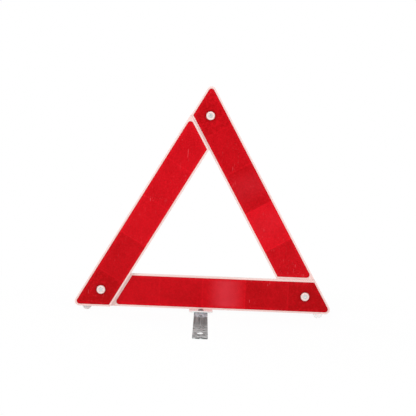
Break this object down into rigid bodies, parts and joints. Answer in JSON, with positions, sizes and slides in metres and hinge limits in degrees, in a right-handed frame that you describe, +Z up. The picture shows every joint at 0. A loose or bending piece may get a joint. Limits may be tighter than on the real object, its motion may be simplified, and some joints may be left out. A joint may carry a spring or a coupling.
{
  "type": "warning triangle",
  "caption": "Folding roadside warning triangle: prismatic red reflector arms in white trays, riveted at the corners, on a swivelling steel strip stand.",
  "frame": {"origin": "on the ground, under the middle of the overall box, in line with the stand rivet front to back", "axes": "+X along the bottom arm to the right as seen from the front, +Y to the back, +Z up; the reflectors face -Y"},
  "size_m": [0.285, 0.196, 0.2532],
  "materials": {
    "white_plastic": "moulded white ABS, satin",
    "red_reflector": "clear red prismatic acrylic",
    "rivet_steel": "zinc-plated steel",
    "zinc_steel": "galvanised rolled strip",
    "clear_plastic": "milky translucent plastic"
  },
  "bodies": {
    "bottom_arm": {"bottom_arm_frame": "white_plastic", "bottom_reflector": "red_reflector", "right_pivot_disc": "white_plastic", "right_pivot_rivet": "rivet_steel", "right_pivot_washer": "rivet_steel", "stand_bracket": "clear_plastic", "stand_rivet": "rivet_steel", "stand_washer": "rivet_steel", "left_foot": "clear_plastic", "right_foot": "clear_plastic"},
    "left_arm": {"left_arm_frame": "white_plastic", "left_reflector": "red_reflector", "left_pivot_disc": "white_plastic", "left_pivot_rivet": "rivet_steel", "left_pivot_washer": "rivet_steel"},
    "right_arm": {"right_arm_frame": "white_plastic", "right_reflector": "red_reflector", "top_snap_stud": "white_plastic", "top_stud_rivet": "rivet_steel"},
    "stand": {"stand_strip": "zinc_steel"}
  },
  "joints": [
    {"name": "left_arm_fold", "type": "hinge", "parent": "bottom_arm", "child": "left_arm", "pos_m": [-0.11386, 0.0066, 0.02365], "axis": [0, 1, 0], "range_deg": [0, 59]},
    {"name": "right_arm_fold", "type": "hinge", "parent": "bottom_arm", "child": "right_arm", "pos_m": [0.11386, 0.0111, 0.02365], "axis": [0, -1, 0], "range_deg": [0, 60]},
    {"name": "stand_swivel", "type": "hinge", "parent": "bottom_arm", "child": "stand", "pos_m": [-0.002, 0, 0.00245], "axis": [0, 0, 1], "range_deg": [-90, 90]}
  ]
}
